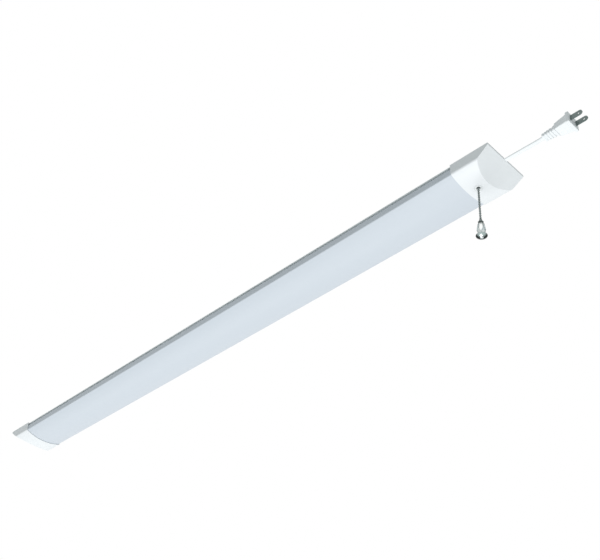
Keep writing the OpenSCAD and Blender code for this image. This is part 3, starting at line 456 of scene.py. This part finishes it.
def bead_tree(material):
    """Beads in a line downwards, joined by wire links."""
    tree = bpy.data.node_groups.new("bead_chain", "GeometryNodeTree")
    for name, kind in (("Beads", "Int"), ("Pitch", "Float"), ("Bead Radius", "Float"),
                       ("Link Radius", "Float"), ("Link Top", "Float")):
        tree.interface.new_socket(name, in_out="INPUT", socket_type=f"NodeSocket{kind}")
    tree.interface.new_socket("Geometry", in_out="OUTPUT", socket_type="NodeSocketGeometry")
    given = add(tree, "NodeGroupInput").outputs
    step = add(tree, "ShaderNodeMath", {0: given["Pitch"], 1: -1}, operation="MULTIPLY").outputs[0]
    offset = add(tree, "ShaderNodeCombineXYZ", {"Z": step}).outputs[0]
    line = add(tree, "GeometryNodeMeshLine", {"Count": given["Beads"], "Offset": offset}).outputs["Mesh"]
    ball = add(tree, "GeometryNodeMeshUVSphere", {
        "Segments": 24, "Rings": 14, "Radius": given["Bead Radius"]}).outputs["Mesh"]
    beads = add(tree, "GeometryNodeInstanceOnPoints", {"Points": line, "Instance": ball}).outputs["Instances"]
    gaps = add(tree, "ShaderNodeMath", {0: given["Beads"], 1: -1}, operation="ADD").outputs[0]
    bottom = add(tree, "ShaderNodeMath", {0: gaps, 1: step}, operation="MULTIPLY").outputs[0]
    length = add(tree, "ShaderNodeMath", {0: given["Link Top"], 1: bottom}, operation="SUBTRACT").outputs[0]
    middle = add(tree, "ShaderNodeMath", {0: given["Link Top"], 1: bottom}, operation="ADD").outputs[0]
    middle = add(tree, "ShaderNodeMath", {0: middle, 1: 0.5}, operation="MULTIPLY").outputs[0]
    wire = add(tree, "GeometryNodeMeshCylinder", {
        "Vertices": 12, "Radius": given["Link Radius"], "Depth": length}).outputs["Mesh"]
    lift = add(tree, "ShaderNodeCombineXYZ", {"Z": middle}).outputs[0]
    wire = add(tree, "GeometryNodeTransform", {"Geometry": wire, "Translation": lift}).outputs["Geometry"]
    joined = add(tree, "GeometryNodeJoinGeometry")
    tree.links.new(beads, joined.inputs[0])
    tree.links.new(wire, joined.inputs[0])
    real = add(tree, "GeometryNodeRealizeInstances", {"Geometry": joined.outputs[0]}).outputs[0]
    smooth = add(tree, "GeometryNodeSetShadeSmooth", {"Geometry": real}).outputs[0]
    painted = add(tree, "GeometryNodeSetMaterial", {"Geometry": smooth, "Material": material}).outputs[0]
    output = add(tree, "NodeGroupOutput")
    tree.links.new(painted, output.inputs["Geometry"])
    return tree


def from_tree(name, tree, values, place):
    """The plain mesh that a tree makes with these values, moved to its place."""
    holder = bpy.data.objects.new(name, bpy.data.meshes.new(name))
    scene.collection.objects.link(holder)
    modifier = holder.modifiers.new("make", "NODES")
    modifier.node_group = tree
    sockets = {item.name: item.identifier for item in tree.interface.items_tree if item.in_out == "INPUT"}
    for key, value in values.items():
        modifier[sockets[key]] = value
    bpy.context.view_layer.update()
    made = holder.evaluated_get(bpy.context.evaluated_depsgraph_get())
    mesh = bpy.data.meshes.new_from_object(made)
    holder.modifiers.remove(modifier)
    mesh.transform(Matrix.Translation(place))
    holder.data = mesh
    return holder


chain_tree = bead_tree(nickel)
for name, body, replaced, top, beads, link_top in (
    ("chain_top_beads", "slider", "upper_chain", FIRST, TOP_BEADS, 0),
    ("chain_first_bead", "lead", "lead_bead", PIVOT - PITCH, 1, PITCH - BEAD - LINK_ROOM),
    ("chain_beads", "chain", "bead_chain", PIVOT - 2 * PITCH, HANGING_BEADS, PITCH - BEAD - LINK_ROOM),
):
    piece = from_tree(name, chain_tree, {
        "Beads": beads, "Pitch": PITCH / 1000, "Bead Radius": BEAD / 1000,
        "Link Radius": LINK / 1000, "Link Top": link_top / 1000}, mm(chain_x, 0, top))
    finish_piece(piece, body, "chain_nickel", nickel, replaced)

# ---------------------------------------------------------------- chain guide, coupling and pendant

# The outlines are (radius, height) in millimetres
guide = turned("guide_moulding", [
    (2.3, NUT_TOP), (2.3, MOUTH + 1.6), (3, MOUTH + 0.3), (3.5, MOUTH), (5, MOUTH), (5.4, MOUTH - 0.45),
    (5.8, MOUTH - 0.5), (6, MOUTH - 0.2), (6, MOUTH + 0.416), (3.5, MOUTH + 0.416), (3.5, NUT_TOP),
    (2.3, NUT_TOP)], axis, radius=0.15)
finish_piece(guide, "light", "guide_white", acetal_white, "chain_guide")

coupling_top = LAST + BEAD + 0.3
flange_z = LAST - BEAD - 0.8
coupling = turned("coupling_sleeve", [
    (0.6, coupling_top), (1.3, coupling_top), (2, coupling_top - 0.8), (2, flange_z),
    (1.66, flange_z), (1.66, coupling_top - 0.7), (0.6, coupling_top - 0.3), (0.6, coupling_top)], axis)
finish_piece(coupling, "pendant", "chain_nickel", nickel, "chain_coupling")

collar = turned("pendant_collar", [
    (0, flange_z), (2, flange_z), (3.3, flange_z - 0.1), (3.7, flange_z - 0.5), (3.7, flange_z - 0.9),
    (3.3, flange_z - 1.3), (2.2, flange_z - 1.5), (2.2, flange_z - 1.8), (3.1, flange_z - 2.1),
    (3.1, flange_z - 2.4), (0, flange_z - 2.4)], axis, radius=0.3)
finish_piece(collar, "pendant", "chain_nickel", nickel, "pendant_cap")

# The crystal's height, and its corner radius at the top, the shoulder, the widest level and the foot. The levels are
# shares of the height
CRYSTAL_HEIGHT = 20.5
TOP_R = 3.4
SHOULDER_R = 4.7
CRYSTAL_R = 6.3
FOOT_R = 5.2
SHOULDER_LEVEL = 0.1
WIDEST_LEVEL = 0.62
# The foot cuts run from this radius and level to the top's radius at the foot
FOOT_CUT_R = 7.6
FOOT_CUT_LEVEL = 0.52
BEVEL = 0.25
BLOCK = 0.1
RIM_DROP = 1.6
SKIRT_R = 7.7
SKIRT_HEIGHT = 4.6
STUD_R = 2.5
STUD_SHANK_R = 1.15
DOME_STEPS = 16
crystal_top = flange_z - 2.4
crystal_bottom = crystal_top - CRYSTAL_HEIGHT


def cut_stone():
    """The crystal: a block cut by planes. Main faces take the first material, bevels and foot cuts the second."""
    bm = bmesh.new()
    bmesh.ops.create_cube(bm, size=BLOCK)

    def cut(turn, upper, lower, finish):
        # A plane through two (distance from the axis, share of the height) points, turned about the axis
        (a, za), (b, zb) = upper, lower
        turn = math.radians(turn)
        out = Vector((math.cos(turn), math.sin(turn), 0))
        start = out * a + Vector((0, 0, -za * CRYSTAL_HEIGHT))
        stop = out * b + Vector((0, 0, -zb * CRYSTAL_HEIGHT))
        normal = (stop - start).cross(Vector((0, 0, 1)).cross(out)).normalized()
        if normal.dot(out) < 0:
            normal.negate()
        slice_off(start, normal, finish)

    def slice_off(point, normal, finish):
        made = bmesh.ops.bisect_plane(
            bm, geom=bm.verts[:] + bm.edges[:] + bm.faces[:], dist=1e-7, plane_co=point / 1000,
            plane_no=normal, clear_outer=True)
        rim = [e for e in made["geom_cut"] if isinstance(e, bmesh.types.BMEdge)]
        if rim:
            for face in bmesh.ops.contextual_create(bm, geom=rim)["faces"]:
                face.material_index = finish

    half = math.cos(math.radians(30))
    slice_off(Vector((0, 0, 0)), Vector((0, 0, 1)), 1)
    slice_off(Vector((0, 0, -CRYSTAL_HEIGHT)), Vector((0, 0, -1)), 1)
    for i in range(6):
        cut(60 * i, (SHOULDER_R * half, SHOULDER_LEVEL), (CRYSTAL_R * half, WIDEST_LEVEL), 0)
        cut(60 * i, (CRYSTAL_R * half, WIDEST_LEVEL), (FOOT_R * half, 1), 0)
        cut(60 * i, (TOP_R * half, 0), (SHOULDER_R * half, SHOULDER_LEVEL), 1)
        cut(60 * i + 30, (FOOT_CUT_R * half, FOOT_CUT_LEVEL), (TOP_R * half, 1), 1)
        cut(60 * i + 30, (SHOULDER_R - BEVEL, SHOULDER_LEVEL), (CRYSTAL_R - BEVEL, WIDEST_LEVEL), 1)
        cut(60 * i + 30, (TOP_R - BEVEL, 0), (SHOULDER_R - BEVEL, SHOULDER_LEVEL), 1)
    bmesh.ops.translate(bm, verts=bm.verts, vec=mm(chain_x, 0, crystal_top))
    bmesh.ops.recalc_face_normals(bm, faces=bm.faces)
    piece = new_piece("cut_stone", bm, 5)
    piece.data.materials.append(crystal)
    piece.data.materials.append(crystal_cuts_painted_shade)
    return piece


finish_piece(cut_stone(), "pendant", "crystal", None, "pendant_crystal")

rim_z = crystal_bottom - RIM_DROP
low_z = crystal_bottom - SKIRT_HEIGHT
seat = STUD_R / SKIRT_R
dome = []
for i in range(DOME_STEPS + 1):
    k = 1 - (1 - seat) * i / DOME_STEPS
    dome.append((SKIRT_R * k, rim_z - (rim_z - low_z) * (1 - k * k) / (1 - seat * seat)))
skirt = turned("skirt_stamping", [
    (STUD_SHANK_R + 0.05, low_z), (STUD_SHANK_R + 0.05, crystal_bottom), (3.8, crystal_bottom),
    (SKIRT_R - 1.4, rim_z + 0.6), (SKIRT_R - 0.2, rim_z + 0.3)] + dome + [(STUD_SHANK_R + 0.05, low_z)],
    axis, steps=96, radius=0.3)
finish_piece(skirt, "pendant", "skirt_dark", skirt_painted_reflection, "pendant_skirt")

stud = turned("stud_head", [
    (0, low_z - 0.9), (STUD_R - 0.8, low_z - 0.9), (STUD_R - 0.2, low_z - 0.5), (STUD_R - 0.1, low_z),
    (STUD_SHANK_R, low_z), (STUD_SHANK_R, crystal_bottom + 4), (0, crystal_bottom + 4)], axis)
finish_piece(stud, "pendant", "chain_nickel", nickel_bright, "pendant_stud")

# ---------------------------------------------------------------- return spring

# Millimetres: underside of the slider, its travel, radius of the coil and of its wire
SLIDER_BOTTOM = FIRST - BEAD - 0.5
SPRING_R = 3
SPRING_WIRE = 0.3
SPRING_TURNS = 4.5
STEPS_A_TURN = 24
WIRE_SIDES = 10


def spring_coil():
    """Round wire wound between the guide's nut and the slider."""
    bm = bmesh.new()
    steps = round(STEPS_A_TURN * SPRING_TURNS)
    rise = SLIDER_BOTTOM - NUT_TOP - 2 * SPRING_WIRE
    turns = [2 * math.pi * SPRING_TURNS * i / steps for i in range(steps + 1)]
    path = [mm(chain_x + SPRING_R * math.cos(a), SPRING_R * math.sin(a), NUT_TOP + SPRING_WIRE + rise * i / steps)
            for i, a in enumerate(turns)]
    rings = []
    for point, heading, a in zip(path, headings(path), turns):
        out = Vector((math.cos(a), math.sin(a), 0))
        up = heading.cross(out).normalized()
        rings.append([point + (out * math.cos(b) + up * math.sin(b)) * SPRING_WIRE / 1000
                      for b in (2 * math.pi * j / WIRE_SIDES for j in range(WIRE_SIDES))])
    loft(bm, rings)
    return new_piece("spring_coil", bm, 60)


spring = spring_coil()
finish_piece(spring, "light", "screw_steel", zinc_steel, "switch_spring")
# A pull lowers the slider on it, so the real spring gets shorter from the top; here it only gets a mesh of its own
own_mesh(spring)

# ---------------------------------------------------------------- end cap screws

# The screws' rows in metres, and the cross of their recess: its radius between the arms and how narrow the arms are
SCREW_ROWS = {"Spacing X": 1.14, "Spacing Y": 0.054}
CROSS_WAIST = 0.42
CROSS_POWER = 6


def cross_screw():
    """Countersunk screw with a cross recess, its head's top at z = 0, in metres."""
    bm = bmesh.new()
    steps = 32
    rings = []
    turns = [2 * math.pi * i / steps for i in range(steps)]
    for r, z in ((1.45, -10), (1.45, -1.45), (2.9, -0.06), (2.84, 0), (1.9, 0)):
        rings.append([mm(r * math.cos(a), r * math.sin(a), z) for a in turns])
    # The recess: the top of its cross and, lower down, its smaller floor
    for depth, reach_out in ((0, 1.7), (-0.9, 1.1)):
        ring = []
        for a in turns:
            arm = abs(math.cos(2 * a))
            r = CROSS_WAIST + (reach_out - CROSS_WAIST) * arm ** CROSS_POWER
            ring.append(mm(r * math.cos(a), r * math.sin(a), depth))
        rings.append(ring)
    loft(bm, rings)
    return new_piece("cross_screw", bm, 30)


def screw_tree(pattern, material):
    """One screw at each corner of a rectangle."""
    tree = bpy.data.node_groups.new("cap_screws", "GeometryNodeTree")
    for name in ("Spacing X", "Spacing Y"):
        tree.interface.new_socket(name, in_out="INPUT", socket_type="NodeSocketFloat")
    tree.interface.new_socket("Geometry", in_out="OUTPUT", socket_type="NodeSocketGeometry")
    given = add(tree, "NodeGroupInput").outputs
    grid = add(tree, "GeometryNodeMeshGrid", {
        "Size X": given["Spacing X"], "Size Y": given["Spacing Y"], "Vertices X": 2, "Vertices Y": 2}).outputs["Mesh"]
    screw = add(tree, "GeometryNodeObjectInfo", {"Object": pattern}).outputs["Geometry"]
    screws = add(tree, "GeometryNodeInstanceOnPoints", {"Points": grid, "Instance": screw}).outputs["Instances"]
    real = add(tree, "GeometryNodeRealizeInstances", {"Geometry": screws}).outputs[0]
    painted = add(tree, "GeometryNodeSetMaterial", {"Geometry": real, "Material": material}).outputs[0]
    output = add(tree, "NodeGroupOutput")
    tree.links.new(painted, output.inputs["Geometry"])
    return tree


pattern = cross_screw()
cap_screws = from_tree("cap_screws", screw_tree(pattern, zinc_steel), SCREW_ROWS, mm(0, 0, 0))
bpy.data.objects.remove(pattern)
finish_piece(cap_screws, "light", "screw_steel", zinc_steel, "end_cap_screws")

# ---------------------------------------------------------------- finishes of the CAD nodes

finishes = {
    powder_coat: ("housing", "led_tray"),
    milky_acrylic: ("diffuser",),
    moulded_abs: ("near_end_cap", "far_end_cap"),
    board_white: ("led_board_near", "led_board_far"),
    phosphor: ("led_chips",),
    nylon: ("board_connector", "switch_rotor", "switch_slider"),
    driver_plastic: ("driver_case", "driver_cover"),
    board_green: ("driver_board",),
    component_plastic: ("driver_components",),
    zinc_steel: ("driver_screws", "tray_screws", "board_screws", "guide_nut"),
    soft_vinyl: ("cord_anchor", "cord_tail"),
    wire_black: ("switch_lead",),
    wire_white: ("driver_leads",),
    wire_red: ("led_leads",),
    phenolic: ("switch_case", "switch_cover"),
    brass: ("switch_contacts",),
    blade_nickel: ("plug_blades",),
}
for material, names in finishes.items():
    for name in names:
        for slot in nodes[name].material_slots:
            slot.material = material

# ---------------------------------------------------------------- stage and light

# Metres: height of the floor and half its width. It lies far below, because the light hangs from a ceiling
FLOOR_Z = -5.2
FLOOR_HALF = 12
bm = bmesh.new()
bmesh.ops.create_grid(bm, x_segments=1, y_segments=1, size=FLOOR_HALF)
bmesh.ops.translate(bm, verts=bm.verts, vec=(0, 0, FLOOR_Z))
floor = new_piece("floor", bm)
# A matt painted studio floor: plain and pale
floor_material, tree, output = new_material("pale_floor")
shader = add(tree, "ShaderNodeBsdfPrincipled", {"Base Color": linear("F4F5F6"), "Roughness": 0.9})
tree.links.new(shader.outputs["BSDF"], output.inputs["Surface"])
floor.data.materials.append(floor_material)

ROOM = 0.43
world = bpy.data.worlds.new("studio")
scene.world = world
world.use_nodes = True
tree = world.node_tree
tree.nodes.clear()
path = add(tree, "ShaderNodeLightPath").outputs
clear_view = {0: path["Is Camera Ray"], 1: path["Is Transmission Ray"]}
seen = add(tree, "ShaderNodeMath", clear_view, operation="MAXIMUM").outputs[0]
seen = add(tree, "ShaderNodeMath", {0: seen, 1: path["Is Glossy Ray"]}, operation="MAXIMUM").outputs[0]
# White for the eye, in mirrors and through clear parts; to the rest an even room light, so that no side goes dark
room = add(tree, "ShaderNodeBackground", {"Color": linear("E4F0F0"), "Strength": ROOM})
white = add(tree, "ShaderNodeBackground", {"Color": linear("FFFFFF"), "Strength": 1})
both = add(tree, "ShaderNodeMixShader", {0: seen})
tree.links.new(room.outputs[0], both.inputs[1])
tree.links.new(white.outputs[0], both.inputs[2])
output = add(tree, "ShaderNodeOutputWorld")
tree.links.new(both.outputs[0], output.inputs["Surface"])


def softbox(name, place, towards, size, power):
    """A round, white, soft lamp: metres and watts."""
    light = bpy.data.lights.new(name, "AREA")
    light.shape = "DISK"
    light.size = size
    light.energy = power
    lamp = bpy.data.objects.new(name, light)
    lamp.location = place
    lamp.rotation_euler = Vector(towards).to_track_quat("-Z", "Y").to_euler()
    scene.collection.objects.link(lamp)


# One large soft lamp below, facing straight up so that it doesn't spill on the floor, lights what looks down, and
# one so far above that the back isn't brighter than the pale floor lights both
softbox("low_softbox", (0.3, 0, -4.9), (0, 0, 1), 2.4, 105)
softbox("high_softbox", (0, 0, 40), (0, 0, -1), 15, 10300)

scene.view_settings.view_transform = "Standard"
